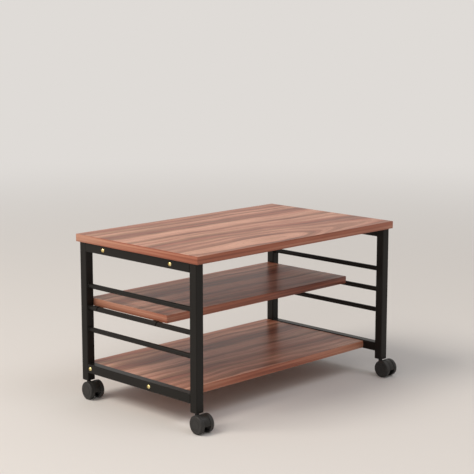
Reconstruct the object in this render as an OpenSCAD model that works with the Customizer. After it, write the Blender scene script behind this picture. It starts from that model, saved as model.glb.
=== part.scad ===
// Low three-tier rolling table: three laminated boards between two welded tube end frames, on four
// twin-wheel castors. The floor is z = 0, +X is to the right, +Y to the back.

/* [Top board] */
// Width of the top board, left to right
top_w = 680; // [600:5:900]
// Depth of the top board, front to back
top_d = 420; // [380:5:560]
// Thickness of the top board
top_t = 18; // [16:1:30]
// Height of the tabletop above the floor
table_h = 401; // [370:1:520]
// How far the top board stands out past each end frame
end_overhang = 4; // [0:1:30]
// How far the top board stands out past the frames at the front and the back
side_overhang = 9; // [0:1:30]
// Thickness of the edge strips on all three boards
edging_t = 1; // [0.5:0.1:2]
// Gap at the corners between one edge strip and the next
edging_joint = 0.05; // [0.02:0.01:0.2]

/* [Middle shelf] */
// Depth of the middle shelf, front to back
mid_d = 277; // [200:1:290]
// Thickness of the middle shelf
mid_t = 18; // [15:1:25]
// Gap between the frames' rear face and the middle shelf's rear edge
mid_set_in = 5; // [0:0.5:40]
// Gap between each end of the middle shelf and the frame
mid_end_gap = 0.5; // [0.3:0.1:2]

/* [Lower shelf] */
// Depth of the lower shelf, front to back
low_d = 345; // [280:1:380]
// Thickness of the lower shelf
low_t = 18; // [15:1:25]
// How far the lower shelf stands out behind the frames
low_overhang = 2.5; // [0:0.5:10]

/* [End frames] */
// Outer width of the square tube
tube = 22; // [18:1:30]
// Wall of the square tube
tube_wall = 1.2; // [1:0.1:2]
// Outer corner radius of the square tube
tube_round = 2.2; // [2.1:0.1:4]
// Height of the bottom rail's underside above the floor
bottom_rail_z = 63.5; // [60:0.5:100]
// Diameter of the round rods
rod_d = 12; // [8:0.5:14]
// Height of the upper rod's axis above the floor
upper_rod_z = 277; // [260:1:300]
// Distance from one rod's axis to the next
rod_pitch = 53.5; // [40:0.5:60]

/* [Brass dome-head screws] */
// Diameter of the dome head
dome_d = 10; // [8:0.5:12]
// Height of the dome head
dome_h = 3; // [2:0.1:4]
// Diameter of the screw's shank
shank_d = 5; // [4:0.5:6]
// Length of the shank that enters the block or the nut
shank_grip = 12; // [8:1:15]
// Width of the arms of the cross recess
recess_w = 1; // [0.6:0.1:1.5]
// Length of the arms of the cross recess, tip to tip
recess_l = 5; // [3:0.5:6]
// Depth of the cross recess
recess_deep = 1.4; // [0.5:0.1:2]
// Extra diameter of the holes that the shank passes through
hole_play = 0.6; // [0.2:0.1:1]
// Extra diameter of the bores that a screw, a nut or a pin is seated in
seat_play = 0.1; // [0.05:0.01:0.2]
// Distance of each top rail screw from the middle of the rail
top_screw_y = 116; // [60:1:140]
// Distance from the lower shelf's rear edge to its rear screws
low_screw_inset = 33; // [26:0.5:60]
// Distance between the front and rear screws of the lower shelf
low_screw_pitch = 211; // [120:1:230]

/* [Connector blocks] */
// Width of a connector block along the rail
block_w = 30; // [26:1:50]
// Depth of a connector block, away from the rail
block_d = 20; // [16:1:30]
// Height of a connector block
block_h = 20; // [16:1:20]
// Distance between the two wood screws of a block
block_screw_pitch = 19; // [17:1:20]

/* [Threaded nuts in the lower shelf] */
// Outer diameter of a nut
nut_d = 9; // [8:0.5:11]
// Length of a nut
nut_l = 14; // [13:1:20]

/* [Wood screws] */
// Shank diameter of the wood screws
wood_screw_d = 4; // [3:0.5:5]
// Head diameter of the wood screws
wood_head_d = 7.5; // [6:0.5:9]
// Head height of the wood screws
wood_head_h = 2.2; // [1.5:0.1:3]
// Depth of the wood screws' bores in a board
wood_grip = 12; // [8:0.5:13]
// How far the wood screws' tips stop short of the bottom of their bores
wood_tip_gap = 1; // [0.5:0.5:2]

/* [Shelf clips] */
// Width of a clip along the rod
clip_w = 14; // [12:1:24]
// Thickness of the clip's bent strip
clip_t = 1.6; // [1.2:0.1:2]
// Height of the shelf's underside above the middle rod's axis
clip_seat = 3; // [2:0.1:4]
// Length of the clip's tab, from the rod's axis towards the middle
clip_reach = 35; // [32:1:50]
// Distance of the wood screw from the rod's axis
clip_screw_x = 27; // [24:1:27]
// How far the hook reaches below the rod's axis
clip_lip = 2; // [0.5:0.5:4]
// Distance from the shelf's rear edge to the rear clips
clip_rear_inset = 41; // [30:1:60]
// Distance from the shelf's front edge to the front clips
clip_front_inset = 26; // [12:1:60]
// Gap between the hook and the rod
clip_play = 0.1; // [0.05:0.01:0.3]

/* [Castors] */
// Diameter of the wheels
wheel_d = 43.5; // [40:0.5:50]
// Width of one wheel
wheel_w = 10; // [8.5:0.1:14]
// Radius of the wheel's outer edge
wheel_round = 2.5; // [1:0.5:5]
// Distance between the swivel axis and the axle
trail = 17.5; // [14:0.5:20]
// Thickness of the hood between the wheels
hood_w = 17.4; // [14:0.1:20]
// Radius of the hood around the axle
hood_r = 21; // [18:0.5:21]
// Height of the hood's lower edge above the floor
hood_low_z = 20; // [18:0.5:24]
// Diameter of the hood's boss around the axle
hood_boss_d = 15; // [12:0.5:20]
// Diameter of the hood's neck
neck_d = 10; // [9.5:0.5:14]
// Gap between the hood and each wheel
wheel_side_gap = 0.3; // [0.2:0.1:0.6]
// Height of the socket's flange above the top of the wheels
wheel_top_gap = 0.6; // [0.5:0.1:6]
// Diameter of the axle
axle_d = 4; // [3:0.5:5]
// Depth of the axle bore in a wheel
axle_bore = 7.5; // [6:0.5:8]
// Gap between each end of the axle and the bottom of its bore
axle_end_gap = 0.3; // [0.2:0.1:1]
// Diameter of the wheel's hub inside
hub_d = 11; // [8:0.5:16]
// Thickness of the wheel's rim
rim_t = 3.5; // [2.5:0.5:5]
// Thickness of the wheel's outer face
face_t = 3; // [2:0.1:5]
// Diameter of the ring groove in the wheel's outer face
groove_d = 25; // [18:0.5:30]
// Width of the ring groove
groove_w = 0.8; // [0.4:0.1:1.5]
// Depth of the ring groove
groove_deep = 0.6; // [0.3:0.1:1]
// Extra diameter of the bores that turn on a pin
turn_play = 0.1; // [0.04:0.01:0.2]

/* [Castor stems and sockets] */
// Diameter of the stem in the hood
pin_d = 6; // [4:0.5:7]
// Length of the stem in the hood
pin_l = 16; // [10:0.5:17]
// Diameter of the stem in the socket
stem_d = 8; // [6:0.5:10]
// Length of the stem in the socket
stem_l = 28; // [20:1:34]
// Length of the stem's bevelled tip
stem_tip = 1; // [0.5:0.1:2]
// Distance from the stem's tip to its snap groove
snap_inset = 6; // [4:0.5:10]
// Width of the snap groove
snap_w = 1.5; // [1:0.1:3]
// Depth of the snap groove
snap_deep = 0.5; // [0.3:0.1:1]
// Height of the collar between the hood and the socket
collar_h = 1; // [0.6:0.1:1.4]
// Height of the socket's body inside the tube
socket_l = 32; // [30:1:45]
// Thickness of the socket's flange under the tube
flange_t = 1.5; // [1:0.1:3]

/* [Castors at rest, turned about their stems] */
// Direction in which the front left castor trails
front_left_turn = -95; // [-180:1:180]
// Direction in which the front right castor trails
front_right_turn = -90; // [-180:1:180]
// Direction in which the rear left castor trails
rear_left_turn = -95; // [-180:1:180]
// Direction in which the rear right castor trails
rear_right_turn = -90; // [-180:1:180]

/* [Hidden] */
$fn = 48;
eps = 0.01;
cut = 1;

frame_x = top_w / 2 - end_overhang;
frame_y = top_d / 2 - side_overhang;
tube_x = frame_x - tube / 2;
tube_y = frame_y - tube / 2;
inner_x = frame_x - tube;
rail_l = 2 * (frame_y - tube);
board_z = table_h - top_t;
top_rail_z = board_z - tube;
screw_z = board_z - tube / 2;
top_screw_ys = [-top_screw_y, top_screw_y];
middle_rod_z = upper_rod_z - rod_pitch;
lower_rod_z = middle_rod_z - rod_pitch;

mid_w = 2 * (inner_x - mid_end_gap);
mid_rear_y = frame_y - mid_set_in;
mid_front_y = mid_rear_y - mid_d;
mid_z = middle_rod_z + clip_seat;
clip_ys = [mid_front_y + clip_front_inset, mid_rear_y - clip_rear_inset];

low_w = 2 * inner_x;
low_rear_y = frame_y + low_overhang;
low_screw_z = bottom_rail_z + tube / 2;
low_z = low_screw_z - low_t / 2;
low_screw_ys = [low_rear_y - low_screw_inset - low_screw_pitch, low_rear_y - low_screw_inset];

wheel_r = wheel_d / 2;
castor_w = hood_w + 2 * (wheel_side_gap + wheel_w);
flange_z = wheel_d + wheel_top_gap;
tube_end_z = flange_z + flange_t;
neck_z = flange_z - collar_h;
pin_z = neck_z - pin_l;
inner_tube = tube - 2 * tube_wall;

// The castors as [side, end, turn]: side is -1 on the left, end is -1 at the front
FRONT_LEFT = [-1, -1, front_left_turn];
FRONT_RIGHT = [1, -1, front_right_turn];
REAR_LEFT = [-1, 1, rear_left_turn];
REAR_RIGHT = [1, 1, rear_right_turn];

// How far a castor's wheels reach from the stem towards the front or the back
function reach(castor) =
    castor[1] * trail * sin(castor[2]) + wheel_r * abs(sin(castor[2])) + castor_w / 2 * abs(cos(castor[2]));

// The whole object's box is centred on the origin, castors included
front_reach = max(top_d / 2, tube_y + max(reach(FRONT_LEFT), reach(FRONT_RIGHT)));
rear_reach = max(top_d / 2, tube_y + max(reach(REAR_LEFT), reach(REAR_RIGHT)));
y_mid = round((front_reach - rear_reach) / 2);

// Puts a piece drawn about the middle of the top board into the object's frame
module place() {
    translate([0, y_mid, 0]) children();
}

// Keeps a piece drawn at the right end there for side = 1, and mirrors it to the left end for side = -1
module at_side(side) {
    mirror([side < 0 ? 1 : 0, 0, 0]) children();
}

module rounded_square(w, r) {
    union() {
        square([w, w - 2 * r], center = true);
        square([w - 2 * r, w], center = true);
        for (x = [-1, 1]) {
            for (y = [-1, 1]) {
                translate([x * (w / 2 - r), y * (w / 2 - r)]) circle(r = r);
            }
        }
    }
}

// A board's core, inside its edge strips, from its low corner
module core(w, d, t) {
    translate([edging_t, edging_t, 0]) cube([w - 2 * edging_t, d - 2 * edging_t, t]);
}

// The four edge strips round a board: the long ones cover the ends of the short ones
module edging(w, d, t) {
    for (y = [0, d - edging_t]) {
        translate([0, y, 0]) cube([w, edging_t, t]);
    }
    for (x = [0, w - edging_t]) {
        translate([x, edging_t + edging_joint, 0]) cube([edging_t, d - 2 * (edging_t + edging_joint), t]);
    }
}

// Four copies: both ends of the table, at the two given distances from its middle line
module at_fixings(ys) {
    for (side = [-1, 1]) {
        for (y = ys) {
            at_side(side) translate([0, y, 0]) children();
        }
    }
}

// Lays a shape that rises along Z down along Y, centred on the middle line
module along_y(x, z, l) {
    translate([x, l / 2, z]) rotate([90, 0, 0]) children();
}

// A bore along X that starts at x and runs towards the middle of the table
module bore_inwards(x, z, d, l) {
    translate([x, 0, z]) rotate([0, -90, 0]) cylinder(d = d, h = l);
}

module block_screw_bores(d, z, h) {
    for (y = [-1, 1]) {
        translate([inner_x - block_d / 2, y * block_screw_pitch / 2, z]) cylinder(d = d, h = h);
    }
}

module clip_screw_bore(d, z, h) {
    translate([tube_x - clip_screw_x, 0, z]) cylinder(d = d, h = h);
}

module top_board() {
    color("#9e6f5e") place() difference() {
        translate([-top_w / 2, -top_d / 2, board_z]) core(top_w, top_d, top_t);
        at_fixings(top_screw_ys)
            block_screw_bores(wood_screw_d + seat_play, board_z - cut, wood_grip + cut);
    }
}

module top_board_edging() {
    color("#8a5442") place() translate([-top_w / 2, -top_d / 2, board_z]) edging(top_w, top_d, top_t);
}

module middle_shelf() {
    color("#8f6657") place() difference() {
        translate([-mid_w / 2, mid_front_y, mid_z]) core(mid_w, mid_d, mid_t);
        at_fixings(clip_ys) clip_screw_bore(wood_screw_d + seat_play, mid_z - cut, wood_grip + cut);
    }
}

module middle_shelf_edging() {
    color("#7d4d3d") place() translate([-mid_w / 2, mid_front_y, mid_z]) edging(mid_w, mid_d, mid_t);
}

module lower_shelf() {
    color("#96695a") place() difference() {
        translate([-low_w / 2, low_rear_y - low_d, low_z]) core(low_w, low_d, low_t);
        at_fixings(low_screw_ys) bore_inwards(inner_x + cut, low_screw_z, nut_d + seat_play, nut_l + cut);
    }
}

module lower_shelf_edging() {
    color("#80503f") place() difference() {
        translate([-low_w / 2, low_rear_y - low_d, low_z]) edging(low_w, low_d, low_t);
        at_fixings(low_screw_ys) bore_inwards(inner_x + cut, low_screw_z, nut_d + seat_play, nut_l);
    }
}

module tube_profile() {
    difference() {
        rounded_square(tube, tube_round);
        rounded_square(inner_tube, tube_round - tube_wall);
    }
}

// An upright from the castor socket's flange to the underside of the top board
module upright(side, end) {
    color("#2b2926") place() translate([side * tube_x, end * tube_y, tube_end_z])
        linear_extrude(height = board_z - tube_end_z) tube_profile();
}

// A rail between the uprights, with a hole through both walls for each screw
module rail(side, z, screw_ys, hole_z) {
    color("#2b2926") place() at_side(side) difference() {
        along_y(tube_x, z + tube / 2, rail_l) linear_extrude(height = rail_l) tube_profile();
        for (y = screw_ys) {
            translate([0, y, 0]) bore_inwards(frame_x + cut, hole_z, shank_d + hole_play, tube + 2 * cut);
        }
    }
}

module top_rail(side) {
    rail(side, top_rail_z, top_screw_ys, screw_z);
}

module bottom_rail(side) {
    rail(side, bottom_rail_z, low_screw_ys, low_screw_z);
}

module rod(side, z) {
    color("#33302c") place() along_y(side * tube_x, z, rail_l) cylinder(d = rod_d, h = rail_l);
}

// A moulded block under the board, behind the top rail
module connector_blocks() {
    color("#4a3128") place() at_fixings(top_screw_ys) difference() {
        translate([inner_x - block_d, -block_w / 2, board_z - block_h]) cube([block_d, block_w, block_h]);
        bore_inwards(inner_x + cut, screw_z, shank_d + seat_play, block_d + 2 * cut);
        block_screw_bores(wood_screw_d + hole_play, board_z - block_h - cut, block_h + 2 * cut);
    }
}

// A wood screw pointing up: its head's underside is at z = 0
module wood_screw(grip) {
    head_ball_d = 1.5 * wood_head_d;
    tip_l = wood_screw_d;
    tip_d = wood_screw_d / 4;
    union() {
        translate([0, 0, -wood_head_h]) intersection() {
            cylinder(d = wood_head_d, h = wood_head_h);
            translate([0, 0, head_ball_d / 2]) sphere(d = head_ball_d);
        }
        translate([0, 0, -eps]) cylinder(d = wood_screw_d, h = grip - tip_l + eps);
        translate([0, 0, grip - tip_l - eps]) cylinder(d1 = wood_screw_d, d2 = tip_d, h = tip_l);
    }
}

module connector_block_screws() {
    color("#b9b6ae") place() at_fixings(top_screw_ys) {
        for (y = [-1, 1]) {
            translate([inner_x - block_d / 2, y * block_screw_pitch / 2, board_z - block_h])
                wood_screw(block_h + wood_grip - wood_tip_gap);
        }
    }
}

// A dome-head screw that points along -X, with the underside of its head at x = 0
module dome_screw(l) {
    dome_r = (dome_d * dome_d / 4 + dome_h * dome_h) / (2 * dome_h);
    rotate([0, 90, 0]) difference() {
        union() {
            intersection() {
                translate([0, 0, dome_h - dome_r]) sphere(r = dome_r, $fn = 96);
                cylinder(d = 2 * dome_d, h = dome_h + cut);
            }
            translate([0, 0, -l]) cylinder(d = shank_d, h = l + eps);
        }
        translate([0, 0, dome_h - recess_deep + cut]) {
            cube([recess_l, recess_w, 2 * cut], center = true);
            cube([recess_w, recess_l, 2 * cut], center = true);
        }
    }
}

module top_rail_screws() {
    color("#c8b36a") place() at_fixings(top_screw_ys)
        translate([frame_x, 0, screw_z]) dome_screw(tube + shank_grip);
}

module bottom_rail_screws() {
    color("#c8b36a") place() at_fixings(low_screw_ys)
        translate([frame_x, 0, low_screw_z]) dome_screw(tube + shank_grip);
}

module shelf_insert_nuts() {
    color("#b9b6ae") place() at_fixings(low_screw_ys) difference() {
        bore_inwards(inner_x, low_screw_z, nut_d, nut_l);
        bore_inwards(inner_x + cut, low_screw_z, shank_d + seat_play, nut_l + 2 * cut);
    }
}

// A strip bent over the middle rod, with a flat tab under the middle shelf
module clip_profile() {
    hook_r = rod_d / 2 + clip_play + clip_t;
    difference() {
        union() {
            intersection() {
                circle(r = hook_r);
                translate([-hook_r, -clip_lip]) square([2 * hook_r, hook_r + clip_lip]);
            }
            translate([-clip_reach, clip_seat - clip_t]) square([clip_reach, clip_t]);
        }
        circle(r = rod_d / 2 + clip_play);
        translate([-rod_d / 2, -hook_r]) square([rod_d, hook_r]);
    }
}

module shelf_clips() {
    color("#33302c") place() at_fixings(clip_ys) difference() {
        along_y(tube_x, middle_rod_z, clip_w) linear_extrude(height = clip_w) clip_profile();
        clip_screw_bore(wood_screw_d + hole_play, mid_z - clip_t - cut, clip_t + 2 * cut);
    }
}

module shelf_clip_screws() {
    color("#b9b6ae") place() at_fixings(clip_ys)
        translate([tube_x - clip_screw_x, 0, mid_z - clip_t])
            wood_screw(clip_t + wood_grip - wood_tip_gap);
}

// Puts a piece drawn about a swivel axis, trailing along +X, at its castor
module at_castor(castor) {
    place() translate([castor[0] * tube_x, castor[1] * tube_y, 0]) rotate([0, 0, castor[2]]) children();
}

// A plug in the open end of an upright, with a bore for the castor's stem
module socket(castor) {
    plug = inner_tube - seat_play;
    color("#262422") place() translate([castor[0] * tube_x, castor[1] * tube_y, flange_z]) difference() {
        union() {
            linear_extrude(height = flange_t) rounded_square(tube, tube_round);
            linear_extrude(height = flange_t + socket_l) rounded_square(plug, tube_round - tube_wall);
        }
        translate([0, 0, -cut]) cylinder(d = stem_d + seat_play, h = stem_l + 2 * cut);
    }
}

// A turned pin: its upper end is pushed into the socket, the hood turns on its lower end
module stem(castor) {
    straight_l = stem_l - stem_tip;
    color("#a9a7a1") at_castor(castor) difference() {
        union() {
            translate([0, 0, pin_z + eps]) cylinder(d = pin_d, h = pin_l);
            translate([0, 0, neck_z]) cylinder(d = neck_d, h = collar_h);
            translate([0, 0, flange_z - eps]) cylinder(d = stem_d, h = straight_l + eps);
            translate([0, 0, flange_z + straight_l - eps])
                cylinder(d1 = stem_d, d2 = stem_d - 2 * stem_tip, h = stem_tip);
        }
        translate([0, 0, flange_z + stem_l - snap_inset]) difference() {
            cylinder(d = stem_d + 2 * cut, h = snap_w);
            translate([0, 0, -cut]) cylinder(d = stem_d - 2 * snap_deep, h = snap_w + 2 * cut);
        }
    }
}

// A round bar on the axle's line
module on_axle(d, l) {
    along_y(trail, wheel_r, l) cylinder(d = d, h = l);
}

// The moulded body between the wheels: a round cover, a boss around the axle and a neck on the stem
module hood(castor) {
    bore_bottom = pin_z - seat_play;
    color("#2e2b28") at_castor(castor) difference() {
        union() {
            intersection() {
                on_axle(2 * hood_r, hood_w);
                translate([trail - hood_r - cut, -hood_w, hood_low_z])
                    cube([2 * (hood_r + cut), 2 * hood_w, 2 * hood_r]);
            }
            on_axle(hood_boss_d, hood_w);
            translate([0, 0, wheel_r]) cylinder(d = neck_d, h = neck_z - wheel_r);
        }
        translate([0, 0, bore_bottom]) cylinder(d = pin_d + turn_play, h = neck_z - bore_bottom + cut);
        on_axle(axle_d + seat_play, hood_w + 2 * cut);
    }
}

module axle(castor) {
    color("#a9a7a1") at_castor(castor)
        on_axle(axle_d, hood_w + 2 * (wheel_side_gap + axle_bore - axle_end_gap));
}

// Half section of a wheel: its open side is at y = 0, its round outer face at y = wheel_w
module wheel_profile() {
    difference() {
        union() {
            square([wheel_r - wheel_round, wheel_w]);
            square([wheel_r, wheel_w - wheel_round]);
            translate([wheel_r - wheel_round, wheel_w - wheel_round]) circle(r = wheel_round);
        }
        translate([hub_d / 2, -cut]) square([wheel_r - rim_t - hub_d / 2, wheel_w - face_t + cut]);
        translate([-cut, -cut]) square([(axle_d + turn_play) / 2 + cut, axle_bore + cut]);
        translate([groove_d / 2 - groove_w, wheel_w - groove_deep]) square([groove_w, groove_deep + cut]);
    }
}

// hand is -1 for the wheel on the castor's right, seen along its trail, and 1 for its left
module wheel(castor, hand) {
    color("#383532") at_castor(castor) translate([trail, hand * (hood_w / 2 + wheel_side_gap), wheel_r])
        rotate([-90 * hand, 0, 0]) rotate_extrude() wheel_profile();
}

top_board();
top_board_edging();
middle_shelf();
middle_shelf_edging();
lower_shelf();
lower_shelf_edging();
upright(-1, -1);  // left_front_upright
upright(-1, 1);  // left_rear_upright
top_rail(-1);  // left_top_rail
bottom_rail(-1);  // left_bottom_rail
rod(-1, upper_rod_z);  // left_upper_rod
rod(-1, middle_rod_z);  // left_middle_rod
rod(-1, lower_rod_z);  // left_lower_rod
upright(1, -1);  // right_front_upright
upright(1, 1);  // right_rear_upright
top_rail(1);  // right_top_rail
bottom_rail(1);  // right_bottom_rail
rod(1, upper_rod_z);  // right_upper_rod
rod(1, middle_rod_z);  // right_middle_rod
rod(1, lower_rod_z);  // right_lower_rod
connector_blocks();
connector_block_screws();
top_rail_screws();
bottom_rail_screws();
shelf_insert_nuts();
shelf_clips();
shelf_clip_screws();
socket(FRONT_LEFT);  // front_left_socket
stem(FRONT_LEFT);  // front_left_stem
hood(FRONT_LEFT);  // front_left_hood
axle(FRONT_LEFT);  // front_left_axle
wheel(FRONT_LEFT, -1);  // front_left_outer_wheel
wheel(FRONT_LEFT, 1);  // front_left_inner_wheel
socket(FRONT_RIGHT);  // front_right_socket
stem(FRONT_RIGHT);  // front_right_stem
hood(FRONT_RIGHT);  // front_right_hood
axle(FRONT_RIGHT);  // front_right_axle
wheel(FRONT_RIGHT, 1);  // front_right_outer_wheel
wheel(FRONT_RIGHT, -1);  // front_right_inner_wheel
socket(REAR_LEFT);  // rear_left_socket
stem(REAR_LEFT);  // rear_left_stem
hood(REAR_LEFT);  // rear_left_hood
axle(REAR_LEFT);  // rear_left_axle
wheel(REAR_LEFT, -1);  // rear_left_outer_wheel
wheel(REAR_LEFT, 1);  // rear_left_inner_wheel
socket(REAR_RIGHT);  // rear_right_socket
stem(REAR_RIGHT);  // rear_right_stem
hood(REAR_RIGHT);  // rear_right_hood
axle(REAR_RIGHT);  // rear_right_axle
wheel(REAR_RIGHT, 1);  // rear_right_outer_wheel
wheel(REAR_RIGHT, -1);  // rear_right_inner_wheel
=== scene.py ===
import math

import bmesh
import bpy
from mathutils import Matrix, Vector


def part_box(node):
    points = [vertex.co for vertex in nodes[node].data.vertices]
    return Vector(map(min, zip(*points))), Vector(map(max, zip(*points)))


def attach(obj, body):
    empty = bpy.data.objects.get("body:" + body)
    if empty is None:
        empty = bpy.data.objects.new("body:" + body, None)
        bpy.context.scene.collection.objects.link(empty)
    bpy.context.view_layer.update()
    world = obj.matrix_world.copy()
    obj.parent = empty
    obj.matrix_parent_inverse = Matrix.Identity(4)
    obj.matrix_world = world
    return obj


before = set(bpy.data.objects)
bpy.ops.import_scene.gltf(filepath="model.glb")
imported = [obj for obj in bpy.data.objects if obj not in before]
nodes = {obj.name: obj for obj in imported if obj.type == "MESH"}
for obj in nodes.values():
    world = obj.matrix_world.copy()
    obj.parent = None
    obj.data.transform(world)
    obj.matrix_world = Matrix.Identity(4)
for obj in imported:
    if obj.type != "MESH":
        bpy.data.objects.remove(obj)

scene = bpy.context.scene
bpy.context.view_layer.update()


# The view: a camera with a long lens, 3.4 m away at the front left and a little above the tabletop.
# It is turned from looking straight ahead along +Y, and its image is taken as 474 x 474 pixels.
IMAGE_PX = 474
FOCAL_PX = 1343.4
SENSOR_MM = 36
CAMERA_PLACE = (-2.3095, -2.2717, 0.9485)
CAMERA_TURN = math.radians(-45.26)
CAMERA_PITCH = math.radians(-9.99)
CAMERA_ROLL = math.radians(-0.03)
AHEAD = math.pi / 2
camera_data = bpy.data.cameras.new("camera")
camera_data.sensor_width = SENSOR_MM
camera_data.lens = SENSOR_MM * FOCAL_PX / IMAGE_PX
camera = bpy.data.objects.new("camera", camera_data)
camera.location = CAMERA_PLACE
camera.rotation_euler = (AHEAD + CAMERA_PITCH, CAMERA_ROLL, CAMERA_TURN)
scene.collection.objects.link(camera)
scene.camera = camera
scene.view_settings.view_transform = "Standard"


# Studio: a matt pale floor that fades into a pale backdrop, a large soft key high on the left, a low fill
# from the left and a high one from the front. Camera, glossy and transmission rays meet a plain backdrop.
def colour(hex_srgb):
    """A linear RGBA colour from an sRGB hex value."""
    channels = [int(hex_srgb[i:i + 2], 16) / 255 for i in (1, 3, 5)]
    linear = [c / 12.92 if c <= 0.04045 else ((c + 0.055) / 1.055) ** 2.4 for c in channels]
    return (*linear, 1.0)


def add_node(tree, kind, inputs=(), stops=(), **settings):
    """Adds a node. An input given as a socket is linked, any other is set; stops fill a colour ramp."""
    node = tree.nodes.new(kind)
    for name, value in settings.items():
        setattr(node, name, value)
    for key, value in dict(inputs).items():
        if isinstance(value, bpy.types.NodeSocket):
            tree.links.new(value, node.inputs[key])
        else:
            node.inputs[key].default_value = value
    for i, (place, shade) in enumerate(stops):
        stop = node.color_ramp.elements[i] if i < 2 else node.color_ramp.elements.new(place)
        stop.position = place
        stop.color = shade
    return node


WORLD_LIGHT = 0.4
WORLD_TINT = colour("#f4f2f0")
BACKDROP = colour("#dfdbd7")
world = bpy.data.worlds.new("pale studio")
world.use_nodes = True
scene.world = world
sky = world.node_tree
sky.nodes.clear()
light_path = add_node(sky, "ShaderNodeLightPath")
camera_or_glossy = add_node(sky, "ShaderNodeMath", {
    0: light_path.outputs["Is Camera Ray"], 1: light_path.outputs["Is Glossy Ray"]}, operation="MAXIMUM")
seen_directly = add_node(sky, "ShaderNodeMath", {
    0: camera_or_glossy.outputs[0], 1: light_path.outputs["Is Transmission Ray"]}, operation="MAXIMUM")
plain_sky = add_node(sky, "ShaderNodeBackground", {"Color": WORLD_TINT, "Strength": WORLD_LIGHT})
seen_sky = add_node(sky, "ShaderNodeBackground", {"Color": BACKDROP, "Strength": 1.0})
sky_mix = add_node(sky, "ShaderNodeMixShader", {
    0: seen_directly.outputs[0], 1: plain_sky.outputs[0], 2: seen_sky.outputs[0]})
add_node(sky, "ShaderNodeOutputWorld", {"Surface": sky_mix.outputs[0]})


# Each square lamp's name, its place, the height above the floor's middle that it points at, its width in
# metres, its power in watts and its tint
LAMPS = (
    ("key high on the left", (-4.2, 1.6, 5.6), 0.25, 3.4, 290, "#fff6ec"),
    ("fill low on the left", (-4.0, -2.5, 2.3), 0.2, 3.0, 50, "#fffaf5"),
    ("fill high in front", (1.0, -3.3, 6.2), 0.2, 3.0, 70, "#fbf8ff"))
for lamp_name, place, target_height, width, watts, tint in LAMPS:
    lamp = bpy.data.lights.new(lamp_name, "AREA")
    lamp.size = width
    lamp.energy = watts
    lamp.color = colour(tint)[:3]
    lamp_object = bpy.data.objects.new(lamp_name, lamp)
    lamp_object.location = place
    towards = Vector((0, 0, target_height)) - Vector(place)
    lamp_object.rotation_euler = towards.to_track_quat("-Z", "Y").to_euler()
    scene.collection.objects.link(lamp_object)


def new_material(name):
    """A material with one Principled shader; returns it, its node tree and the shader."""
    material = bpy.data.materials.new(name)
    material.use_nodes = True
    tree = material.node_tree
    return material, tree, tree.nodes["Principled BSDF"]


# The floor reaches this far each way, and turns into the backdrop between two distances, in metres
FLOOR_REACH = 20
FADE_START, FADE_END = 1.0, 5.0
floor_mesh = bpy.data.meshes.new("floor")
corners = [(x * FLOOR_REACH, y * FLOOR_REACH, 0) for x, y in ((-1, -1), (1, -1), (1, 1), (-1, 1))]
floor_mesh.from_pydata(corners, [], [(0, 1, 2, 3)])
floor = bpy.data.objects.new("floor", floor_mesh)
scene.collection.objects.link(floor)
floor_paint, floor_tree, floor_shader = new_material("matt studio floor")
floor_shader.inputs["Base Color"].default_value = colour("#e3e0dc")
floor_shader.inputs["Roughness"].default_value = 0.75
floor_shader.inputs["Specular IOR Level"].default_value = 0.2
from_table = add_node(floor_tree, "ShaderNodeVectorMath", {
    0: add_node(floor_tree, "ShaderNodeTexCoord").outputs["Object"]}, operation="LENGTH")
far = add_node(floor_tree, "ShaderNodeMapRange", {
    "Value": from_table.outputs["Value"], "From Min": FADE_START, "From Max": FADE_END},
    interpolation_type="SMOOTHSTEP")
fade = add_node(floor_tree, "ShaderNodeMath", {
    0: far.outputs[0], 1: add_node(floor_tree, "ShaderNodeLightPath").outputs["Is Camera Ray"]},
    operation="MULTIPLY")
distance_glow = add_node(floor_tree, "ShaderNodeEmission", {"Color": BACKDROP, "Strength": 1.0})
floor_mix = add_node(floor_tree, "ShaderNodeMixShader", {
    0: fade.outputs[0], 1: floor_shader.outputs[0], 2: distance_glow.outputs[0]})
floor_tree.links.new(floor_mix.outputs[0], floor_tree.nodes["Material Output"].inputs["Surface"])
floor_mesh.materials.append(floor_paint)


# The three boards: 18 mm particle board faced with printed, melamine-coated paper, a satin red-brown
# walnut. Its bands lie at the same place on every board and run along the table. On the top board they
# close into pointed arches at the front right; the shelves are cut where they stay straighter.
MM = 0.001
# The bands' tone, dark at 0 and light at 1, by their distance in mm from the line of the arches' points
FIGURE_MM = (
    (0, 0.95), (29, 1.0), (37, 0.0), (50, 0.25), (61, 0.8), (74, 0.3), (85, 0.8), (98, 0.2),
    (110, 0.45), (122, 0.0), (131, 0.1), (146, 0.9), (160, 0.6), (173, 0.9), (181, 0.0), (190, 0.5),
    (202, 1.0), (234, 0.95), (247, 0.1), (275, 0.0), (288, 0.55), (298, 0.9), (306, 0.8),
    (314, 0.0), (325, 0.85), (336, 0.4), (347, 0.05), (360, 0.5))
FIGURE_END_MM = 400
# The line lies this far in front of the board's middle. The bands bend round it within ARCH_POINT.
ARCH_AHEAD = 166 * MM
ARCH_LINE = (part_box("top_board")[0].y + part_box("top_board")[1].y) / 2 - ARCH_AHEAD
ARCH_POINT = 45 * MM
# How far the arches have opened, by the place along the table; further back than ARCH_FADE they are gone
ARCH_RISE_MM = (
    (-340, 26), (-230, 14), (-130, 3), (-60, 0), (10, 9), (55, 25),
    (105, 40), (150, 52), (210, 64), (280, 71), (340, 75))
ARCH_RISE_END_MM = 75
ARCH_FADE = 190 * MM
ARCHED, STRAIGHTER = 1.0, 0.35
DROP_TO_THE_RIGHT = 0.013
# The print wanders by up to half of WANDER_BY, over about WANDER_MM
WANDER_MM = 166.7
WANDER_BY = (120 * MM, 26 * MM, 0.0)
# Streaks from broad to fine: their share in the tone, their length and width in mm, and their detail
STREAKS_MM = ((0.2, 333.3, 58.82, 2.0), (0.3, 250.0, 16.667, 3.0), (0.3, 111.1, 4.762, 4.0))
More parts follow.
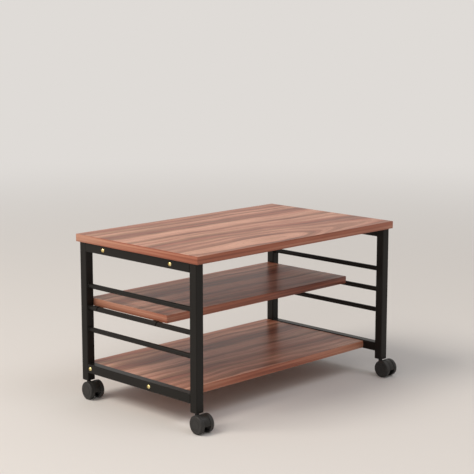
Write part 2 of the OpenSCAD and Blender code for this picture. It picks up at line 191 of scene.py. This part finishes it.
# Patches of a redder and of a straw-coloured tint, in mm along and across, and the most that each covers
TINT_MM = (454.5, 16.667)
BLUSH_MOST, STRAW_MOST = 0.6, 0.45
# The printed pores are drawn 0.4 mm wide, about twice their real width, so that they show
PORE_MM = (9.091, 0.41667)
PORE = colour("#4a2c22")
PORE_MOST = 0.45
# The sockets of a Mix node, for tones and for colours
FACTOR, TONE_A, TONE_B, COLOUR_A, COLOUR_B = 0, 2, 3, 6, 7
MIXED_TONE, MIXED_COLOUR = 0, 2


def per_metre(size_mm):
    """How often a size in mm fits into a metre: the scale of a pattern of that size."""
    return 1 / (size_mm * MM)


def walnut_laminate(name, arch_share, dark, middle, light, blush, straw):
    """The printed face: banded figure, streaks, tinted patches and pores under a satin melamine coat."""
    material, tree, shader = new_material(name)
    position = add_node(tree, "ShaderNodeTexCoord").outputs["Object"]
    wander = add_node(tree, "ShaderNodeTexNoise", {
        "Vector": position, "Scale": per_metre(WANDER_MM), "Detail": 3.0})
    centred = add_node(tree, "ShaderNodeVectorMath", {
        0: wander.outputs["Color"], 1: (0.5, 0.5, 0.5)}, operation="SUBTRACT")
    drift = add_node(tree, "ShaderNodeVectorMath", {
        0: centred.outputs[0], 1: WANDER_BY}, operation="MULTIPLY")
    swayed = add_node(tree, "ShaderNodeVectorMath", {0: position, 1: drift.outputs[0]}, operation="ADD")
    split = add_node(tree, "ShaderNodeSeparateXYZ", {0: swayed.outputs[0]})
    behind = add_node(tree, "ShaderNodeMath", {0: split.outputs["Y"], 1: ARCH_LINE}, operation="SUBTRACT")
    ahead = add_node(tree, "ShaderNodeMath", {0: behind.outputs[0], 1: -1.0}, operation="MULTIPLY")
    away = add_node(tree, "ShaderNodeMath", {
        0: behind.outputs[0], 1: ahead.outputs[0], 2: ARCH_POINT}, operation="SMOOTH_MAX")
    rise_first, rise_last = ARCH_RISE_MM[0][0], ARCH_RISE_MM[-1][0]
    along_table = add_node(tree, "ShaderNodeMapRange", {
        "Value": split.outputs["X"], "From Min": rise_first * MM, "From Max": rise_last * MM})
    rise = add_node(tree, "ShaderNodeValToRGB", {"Fac": along_table.outputs[0]}, stops=[
        ((x - rise_first) / (rise_last - rise_first), (r, r, r, 1.0))
        for x, r in ((x, mm / ARCH_RISE_END_MM) for x, mm in ARCH_RISE_MM)])
    nearness = add_node(tree, "ShaderNodeMapRange", {
        "Value": behind.outputs[0], "From Min": ARCH_FADE, "From Max": 0.0,
        "To Max": arch_share * ARCH_RISE_END_MM * MM})
    arched = add_node(tree, "ShaderNodeMath", {
        0: rise.outputs["Color"], 1: nearness.outputs[0], 2: away.outputs[0]}, operation="MULTIPLY_ADD")
    figure = add_node(tree, "ShaderNodeMath", {
        0: split.outputs["X"], 1: DROP_TO_THE_RIGHT, 2: arched.outputs[0]}, operation="MULTIPLY_ADD")
    along_figure = add_node(tree, "ShaderNodeMapRange", {
        "Value": figure.outputs[0], "From Min": 0.0, "From Max": FIGURE_END_MM * MM})
    bands = add_node(tree, "ShaderNodeValToRGB", {"Fac": along_figure.outputs[0]}, stops=[
        (place / FIGURE_END_MM, (tone, tone, tone, 1.0)) for place, tone in FIGURE_MM])
    grain_at = add_node(tree, "ShaderNodeCombineXYZ", {"X": split.outputs["X"], "Y": figure.outputs[0]})
    tone = bands.outputs["Color"]
    for share, long_mm, wide_mm, detail in STREAKS_MM:
        stretched = add_node(tree, "ShaderNodeVectorMath", {
            0: grain_at.outputs[0], 1: (per_metre(long_mm), per_metre(wide_mm), 0.0)}, operation="MULTIPLY")
        streaks = add_node(tree, "ShaderNodeTexNoise", {
            "Vector": stretched.outputs[0], "Scale": 1.0, "Detail": detail, "Roughness": 0.6})
        spread = add_node(tree, "ShaderNodeMapRange", {
            "Value": streaks.outputs["Fac"], "From Min": 0.3, "From Max": 0.7})
        toned = add_node(tree, "ShaderNodeMix", {
            FACTOR: share, TONE_A: tone, TONE_B: spread.outputs[0]}, data_type="FLOAT")
        tone = toned.outputs[MIXED_TONE]
    shade = add_node(tree, "ShaderNodeValToRGB", {"Fac": tone}, stops=(
        (0.22, colour(dark)), (0.74, colour(light)), (0.48, colour(middle))))
    tint_at = add_node(tree, "ShaderNodeVectorMath", {
        0: grain_at.outputs[0], 1: (*map(per_metre, TINT_MM), 0.0)}, operation="MULTIPLY")
    tint_noise = add_node(tree, "ShaderNodeTexNoise", {
        "Vector": tint_at.outputs[0], "Scale": 1.0, "Detail": 1.0})
    blush_mask = add_node(tree, "ShaderNodeMapRange", {
        "Value": tint_noise.outputs["Fac"], "From Min": 0.5, "From Max": 0.7, "To Max": BLUSH_MOST})
    blushed = add_node(tree, "ShaderNodeMix", {
        FACTOR: blush_mask.outputs[0], COLOUR_A: shade.outputs["Color"], COLOUR_B: colour(blush)},
        data_type="RGBA")
    straw_mask = add_node(tree, "ShaderNodeMapRange", {
        "Value": tint_noise.outputs["Fac"], "From Min": 0.48, "From Max": 0.28, "To Max": STRAW_MOST})
    tinted = add_node(tree, "ShaderNodeMix", {
        FACTOR: straw_mask.outputs[0], COLOUR_A: blushed.outputs[MIXED_COLOUR], COLOUR_B: colour(straw)},
        data_type="RGBA")
    pores_at = add_node(tree, "ShaderNodeVectorMath", {
        0: grain_at.outputs[0], 1: (*map(per_metre, PORE_MM), 0.0)}, operation="MULTIPLY")
    pores = add_node(tree, "ShaderNodeTexNoise", {
        "Vector": pores_at.outputs[0], "Scale": 1.0, "Detail": 0.0})
    pore_mask = add_node(tree, "ShaderNodeMapRange", {
        "Value": pores.outputs["Fac"], "From Min": 0.66, "From Max": 0.76, "To Max": PORE_MOST})
    pored = add_node(tree, "ShaderNodeMix", {
        FACTOR: pore_mask.outputs[0], COLOUR_A: tinted.outputs[MIXED_COLOUR], COLOUR_B: PORE},
        data_type="RGBA")
    tree.links.new(pored.outputs[MIXED_COLOUR], shader.inputs["Base Color"])
    relief = add_node(tree, "ShaderNodeBump", {
        "Height": streaks.outputs["Fac"], "Strength": 0.2, "Distance": 0.1 * MM})
    tree.links.new(relief.outputs[0], shader.inputs["Normal"])
    shader.inputs["Roughness"].default_value = 0.34
    shader.inputs["Specular IOR Level"].default_value = 0.15
    return material


def wear(material, *names):
    """Gives the CAD nodes of these names a material."""
    for name in names:
        mesh = nodes[name].data
        mesh.materials.clear()
        mesh.materials.append(material)
        for face in mesh.polygons:
            face.material_index = 0


BOARDS = ("top_board", "middle_shelf", "lower_shelf")
# Dark, middle and light of the bands, then the blush and the straw tint
WALNUT = ("#683a29", "#a67059", "#d7a188", "#a45c46", "#a27a58")
wear(walnut_laminate("walnut print melamine, arched", ARCHED, *WALNUT), "top_board")
wear(walnut_laminate("walnut print melamine, straight", STRAIGHTER, *WALNUT),
     "middle_shelf", "lower_shelf")


# Edge strips: 1 mm printed strips ironed on to the four edges of each board. The print's streaks run
# along each strip, redder than the boards' faces, and their outer edges are scraped to a small radius.
STRIP_STREAK_MM = (333.3, 5.263)
STRIP_DRIFT_MM = 588.2


def walnut_edging(name, seed):
    """The printed strip: fine streaks along it whose tone drifts. The seed picks its stretch of print."""
    material, tree, shader = new_material(name)
    position = add_node(tree, "ShaderNodeTexCoord").outputs["Object"]
    split = add_node(tree, "ShaderNodeSeparateXYZ", {0: position})
    along = add_node(tree, "ShaderNodeMath", {
        0: split.outputs["X"], 1: split.outputs["Y"]}, operation="SUBTRACT")
    strip = add_node(tree, "ShaderNodeCombineXYZ", {0: along.outputs[0], 1: split.outputs["Z"]})
    stretched = add_node(tree, "ShaderNodeVectorMath", {
        0: strip.outputs[0], 1: (*map(per_metre, STRIP_STREAK_MM), 0.0)}, operation="MULTIPLY")
    streaks = add_node(tree, "ShaderNodeTexNoise", {
        "Vector": stretched.outputs[0], "W": seed, "Scale": 1.0, "Detail": 2.0, "Roughness": 0.5},
        noise_dimensions="4D")
    roll = add_node(tree, "ShaderNodeMath", {
        0: along.outputs[0], 1: per_metre(STRIP_DRIFT_MM), 2: seed}, operation="MULTIPLY_ADD")
    drift = add_node(tree, "ShaderNodeTexNoise", {
        "W": roll.outputs[0], "Scale": 1.0, "Detail": 0.0}, noise_dimensions="1D")
    drifted = add_node(tree, "ShaderNodeMix", {
        FACTOR: 0.5, TONE_A: streaks.outputs["Fac"], TONE_B: drift.outputs["Fac"]}, data_type="FLOAT")
    tone = add_node(tree, "ShaderNodeValToRGB", {"Fac": drifted.outputs[MIXED_TONE]}, stops=(
        (0.34, colour("#6b3626")), (0.66, colour("#c28c73")), (0.50, colour("#a05f48"))))
    tree.links.new(tone.outputs["Color"], shader.inputs["Base Color"])
    shader.inputs["Roughness"].default_value = 0.36
    shader.inputs["Specular IOR Level"].default_value = 0.4
    return material


SAME_POINT = 0.01 * MM
SHARP_FROM = math.radians(40)


def soften(radius, segments, *names):
    """Rounds the sharp edges of the CAD nodes of these names."""
    for name in names:
        weld = nodes[name].modifiers.new("joined faces", "WELD")
        weld.merge_threshold = SAME_POINT
        bevel = nodes[name].modifiers.new("worn edges", "BEVEL")
        bevel.width = radius
        bevel.segments = segments
        bevel.limit_method = "ANGLE"
        bevel.angle_limit = SHARP_FROM
        bevel.harden_normals = True
        for face in nodes[name].data.polygons:
            face.use_smooth = True


# The seeds pick each board's stretch of strip print. The middle shelf's seed picks a darker stretch, which
# is painted shade standing in for the top board's shadow over its front strip.
STRIP_SEEDS_WITH_PAINTED_SHADE = (8.5, 5.2, 6.8)
STRIP_ROUND = 0.5 * MM
for board, seed in zip(BOARDS, STRIP_SEEDS_WITH_PAINTED_SHADE):
    wear(walnut_edging("walnut edge strip " + board, seed), board + "_edging")
    soften(STRIP_ROUND, 2, board + "_edging")


# End frames: 22 mm square steel tube and 12 mm round bar, welded, then coated with black polyester
# powder and baked. That gives a satin black with a fine, even orange peel of about 1 mm.
PEEL_MM = 1.111
CLOUD_MM = 111.1


def powder_coat():
    """The baked coat: nearly even black, with the peel as a slight relief."""
    material, tree, shader = new_material("black powder coat")
    position = add_node(tree, "ShaderNodeTexCoord").outputs["Object"]
    peel = add_node(tree, "ShaderNodeTexNoise", {
        "Vector": position, "Scale": per_metre(PEEL_MM), "Detail": 1.0})
    cloud = add_node(tree, "ShaderNodeTexNoise", {
        "Vector": position, "Scale": per_metre(CLOUD_MM), "Detail": 2.0})
    shade = add_node(tree, "ShaderNodeValToRGB", {"Fac": cloud.outputs["Fac"]}, stops=(
        (0.3, colour("#161411")), (0.7, colour("#1b1815"))))
    tree.links.new(shade.outputs["Color"], shader.inputs["Base Color"])
    relief = add_node(tree, "ShaderNodeBump", {
        "Height": peel.outputs["Fac"], "Strength": 0.3, "Distance": 0.2 * MM})
    tree.links.new(relief.outputs[0], shader.inputs["Normal"])
    shader.inputs["Roughness"].default_value = 0.38
    shader.inputs["Specular IOR Level"].default_value = 0.2
    return material


coat = powder_coat()
SIDES = ("left", "right")
FRAME_TUBES = [side + "_" + part for side in SIDES
               for part in ("front_upright", "rear_upright", "top_rail", "bottom_rail")]
FRAME_RODS = [side + "_" + part for side in SIDES for part in ("upper_rod", "middle_rod", "lower_rod")]
wear(coat, *FRAME_TUBES, *FRAME_RODS)

# The weld beads swell and thin with the welder's steps. Where a bead's path runs straight up, within a
# share of its length, any direction across it will do.
BEAD_RADIUS = 1.5 * MM
BEAD_RIPPLE = 1.6 * MM
BEAD_SWELL = 0.14
BEAD_SIDES = 8
STRAIGHT_UP = 0.99


def weld_bead(path, name):
    """A rippled bead of weld along a path of points, closed where its ends meet."""
    steps = len(path) - 1
    closed = (path[0] - path[-1]).length < SAME_POINT
    mesh = bmesh.new()
    rings = []
    travelled = 0.0
    for i in range(steps if closed else steps + 1):
        before = path[i - 1] if i else path[-2] if closed else path[0]
        ahead = (path[min(i + 1, steps)] - before).normalized()
        sideways = ahead.orthogonal() if abs(ahead.z) > STRAIGHT_UP else ahead.cross(Vector((0, 0, 1)))
        side = sideways.normalized()
        up = side.cross(ahead)
        radius = BEAD_RADIUS * (1 + BEAD_SWELL * math.sin(2 * math.pi * travelled / BEAD_RIPPLE))
        angles = [2 * math.pi * k / BEAD_SIDES for k in range(BEAD_SIDES)]
        rings.append([mesh.verts.new(path[i] + radius * (math.cos(a) * side + math.sin(a) * up))
                      for a in angles])
        travelled += (path[min(i + 1, steps)] - path[i]).length
    pairs = list(zip(rings, rings[1:])) + ([(rings[-1], rings[0])] if closed else [])
    for near, far in pairs:
        for k in range(BEAD_SIDES):
            turn = (k + 1) % BEAD_SIDES
            mesh.faces.new((near[k], near[turn], far[turn], far[k]))
    if not closed:
        mesh.faces.new(rings[0])
        mesh.faces.new(reversed(rings[-1]))
    bmesh.ops.recalc_face_normals(mesh, faces=mesh.faces)
    for face in mesh.faces:
        face.smooth = True
    data = bpy.data.meshes.new(name)
    mesh.to_mesh(data)
    mesh.free()
    data.materials.append(coat)
    bead = bpy.data.objects.new(name, data)
    scene.collection.objects.link(bead)
    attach(bead, "table")


ROUND_STEPS = 64
STRAIGHT_STEPS = 40
for rod in FRAME_RODS:
    low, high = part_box(rod)
    middle = (low + high) / 2
    radius = (high.z - low.z) / 2 + BEAD_RADIUS / 3
    for y in (low.y, high.y):
        circle = [Vector((middle.x + radius * math.cos(a), y, middle.z + radius * math.sin(a)))
                  for a in (2 * math.pi * i / ROUND_STEPS for i in range(ROUND_STEPS + 1))]
        weld_bead(circle, "weld_round_" + rod)

RAIL_WELD_INSET = 2.5 * MM
for side in SIDES:
    for rail, faces in (("top_rail", (0,)), ("bottom_rail", (0, 1))):
        low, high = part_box(side + "_" + rail)
        for y in (low.y, high.y):
            for face in faces:
                z = (low.z, high.z)[face]
                start = Vector((low.x + RAIL_WELD_INSET, y, z))
                run = Vector((high.x - low.x - 2 * RAIL_WELD_INSET, 0, 0))
                straight = [start + run * i / STRAIGHT_STEPS for i in range(STRAIGHT_STEPS + 1)]
                weld_bead(straight, "weld_on_" + side + "_" + rail)


# Connector blocks: moulded brown polypropylene blocks that tie the top rails to the board. The screws
# through each rail end in them, and two wood screws hold each block up against the board.
MOULD_GRAIN_MM = 1.4286
BLOTCH_MM = 16.667
DUST = 1.25


def moulded_plastic(name, shade, roughness):
    """A moulded surface: the mould's fine grain as a slight relief, and paler where dust clings."""
    material, tree, shader = new_material(name)
    position = add_node(tree, "ShaderNodeTexCoord").outputs["Object"]
    grain = add_node(tree, "ShaderNodeTexNoise", {
        "Vector": position, "Scale": per_metre(MOULD_GRAIN_MM), "Detail": 2.0})
    blotch = add_node(tree, "ShaderNodeTexNoise", {
        "Vector": position, "Scale": per_metre(BLOTCH_MM), "Detail": 2.0})
    dusty = [min(1.0, c * DUST) for c in colour(shade)[:3]] + [1.0]
    tone = add_node(tree, "ShaderNodeValToRGB", {"Fac": blotch.outputs["Fac"]}, stops=(
        (0.35, colour(shade)), (0.75, dusty)))
    tree.links.new(tone.outputs["Color"], shader.inputs["Base Color"])
    relief = add_node(tree, "ShaderNodeBump", {
        "Height": grain.outputs["Fac"], "Strength": 0.25, "Distance": 0.1 * MM})
    tree.links.new(relief.outputs[0], shader.inputs["Normal"])
    shader.inputs["Roughness"].default_value = roughness
    shader.inputs["Specular IOR Level"].default_value = 0.3
    return material


wear(moulded_plastic("brown polypropylene", "#4a3128", 0.5), "connector_blocks")
BLOCK_ROUND = 0.8 * MM
soften(BLOCK_ROUND, 2, "connector_blocks")


# Screws: steel, cold-headed with rolled threads. The domed heads outside the rails are brass-plated and
# polished; the wood screws of the blocks and clips and the lower shelf's insert nuts are zinc-plated.
TARNISH_MM = 3.846


def plated_steel(name, shade, worn, roughness):
    """A plated surface: bright metal with a duller tone where it has tarnished in specks."""
    material, tree, shader = new_material(name)
    position = add_node(tree, "ShaderNodeTexCoord").outputs["Object"]
    tarnish = add_node(tree, "ShaderNodeTexNoise", {
        "Vector": position, "Scale": per_metre(TARNISH_MM), "Detail": 3.0})
    tone = add_node(tree, "ShaderNodeValToRGB", {"Fac": tarnish.outputs["Fac"]}, stops=(
        (0.35, colour(worn)), (0.6, colour(shade))))
    tree.links.new(tone.outputs["Color"], shader.inputs["Base Color"])
    shader.inputs["Metallic"].default_value = 1.0
    shader.inputs["Roughness"].default_value = roughness
    return material


wear(plated_steel("polished brass plate", "#e6d8a0", "#bfa25a", 0.24),
     "top_rail_screws", "bottom_rail_screws")
zinc = plated_steel("zinc plate", "#c9c7c0", "#a3a098", 0.32)
wear(zinc, "connector_block_screws", "shelf_insert_nuts", "shelf_clip_screws")


# Shelf clips: steel strip bent into hooks that sit on the middle rods, powder-coated black with the
# frames. One wood screw holds each clip under the middle shelf.
wear(coat, "shelf_clips")


# Castors: a steel stem pressed into a plastic socket, a moulded hood that swivels on it, and two
# moulded nylon wheels that turn on a steel axle. The nylon is a slightly worn, dusty black.
CASTORS = ("front_left", "front_right", "rear_left", "rear_right")
HOOD_ROUND = 0.6 * MM
socket_plastic = moulded_plastic("black polypropylene", "#1f1d1b", 0.5)
hood_plastic = moulded_plastic("black moulded nylon", "#201f1d", 0.42)
wheel_plastic = moulded_plastic("dusty black nylon", "#2a2928", 0.45)
for castor in CASTORS:
    wear(socket_plastic, castor + "_socket")
    wear(zinc, castor + "_stem", castor + "_axle")
    wear(hood_plastic, castor + "_hood")
    wear(wheel_plastic, castor + "_outer_wheel", castor + "_inner_wheel")
    soften(HOOD_ROUND, 2, castor + "_hood")
